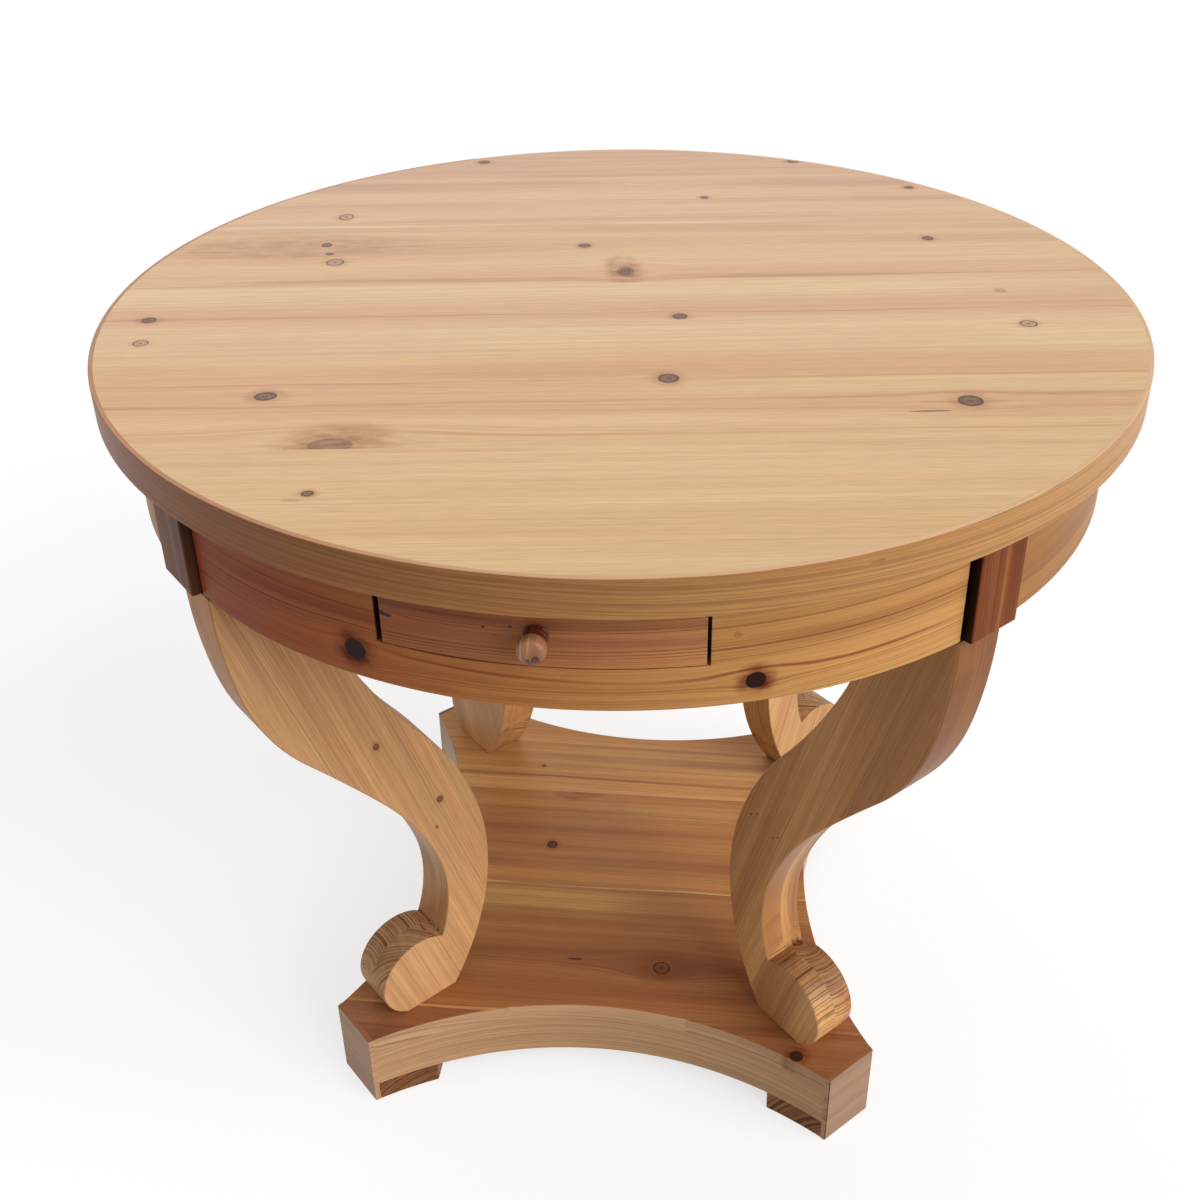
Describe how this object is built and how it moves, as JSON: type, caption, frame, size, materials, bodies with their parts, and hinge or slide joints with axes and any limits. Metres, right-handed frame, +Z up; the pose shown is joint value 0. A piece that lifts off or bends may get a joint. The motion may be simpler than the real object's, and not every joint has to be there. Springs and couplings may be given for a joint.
{
  "type": "tavern table",
  "caption": "Round boarded table top on a curved apron with a bow-fronted drawer, S-scroll legs and a hollow-sided plinth on foot pads.",
  "frame": {"origin": "on the floor, under the centre of the round top", "axes": "+Z up, -Y towards the drawer and the person who opens it, +X to that person's right"},
  "size_m": [0.8999, 0.9, 0.758],
  "materials": {
    "top_wood": "satin",
    "band_wood": "satin",
    "apron_wood": "satin",
    "cap_wood": "satin",
    "leg_wood": "satin",
    "plinth_wood": "satin",
    "skirt_wood": "satin",
    "facing_wood": "satin",
    "pad_wood": "satin",
    "drawer_front_wood": "satin",
    "knob_wood": "satin",
    "drawer_box_wood": "matt",
    "framing_wood": "matt",
    "screw_steel": "satin"
  },
  "bodies": {
    "root": {"apron_back": "apron_wood", "apron_front": "apron_wood", "apron_glue_blocks": "framing_wood", "apron_left": "apron_wood", "apron_right": "apron_wood", "bearer_left": "framing_wood", "bearer_right": "framing_wood", "bearer_screws": "screw_steel", "cap_back_left": "cap_wood", "cap_back_right": "cap_wood", "cap_front_left": "cap_wood", "cap_front_right": "cap_wood", "drawer_runner_left": "framing_wood", "drawer_runner_right": "framing_wood", "drawer_stops": "framing_wood", "foot_pad_back_left": "pad_wood", "foot_pad_back_right": "pad_wood", "foot_pad_front_left": "pad_wood", "foot_pad_front_right": "pad_wood", "leg_back_left_a": "leg_wood", "leg_back_left_b": "leg_wood", "leg_back_right_a": "leg_wood", "leg_back_right_b": "leg_wood", "leg_front_left_a": "leg_wood", "leg_front_left_b": "leg_wood", "leg_front_right_a": "leg_wood", "leg_front_right_b": "leg_wood", "leg_screws": "screw_steel", "plinth_block_back_left": "framing_wood", "plinth_block_back_right": "framing_wood", "plinth_block_front_left": "framing_wood", "plinth_block_front_right": "framing_wood", "plinth_board_1": "plinth_wood", "plinth_board_2": "plinth_wood", "plinth_board_3": "plinth_wood", "plinth_board_front_left": "plinth_wood", "plinth_board_front_right": "plinth_wood", "plinth_facing_back_left": "facing_wood", "plinth_facing_back_right": "facing_wood", "plinth_facing_front_left": "facing_wood", "plinth_facing_front_right": "facing_wood", "plinth_skirt_back": "skirt_wood", "plinth_skirt_front": "skirt_wood", "plinth_skirt_left": "skirt_wood", "plinth_skirt_right": "skirt_wood", "top_board_1": "top_wood", "top_board_2": "top_wood", "top_board_3": "top_wood", "top_board_4": "top_wood", "top_board_5": "top_wood", "top_board_6": "top_wood", "top_edge_band": "band_wood"},
    "drawer": {"drawer_front": "drawer_front_wood", "drawer_side_left": "drawer_box_wood", "drawer_side_right": "drawer_box_wood", "drawer_back": "drawer_box_wood", "drawer_bottom": "drawer_box_wood", "drawer_knob": "knob_wood", "knob_screw": "screw_steel"}
  },
  "joints": [
    {"name": "drawer_slide", "type": "slide", "parent": "root", "child": "drawer", "axis": [0, -1, 0], "range_m": [0, 0.2]}
  ]
}
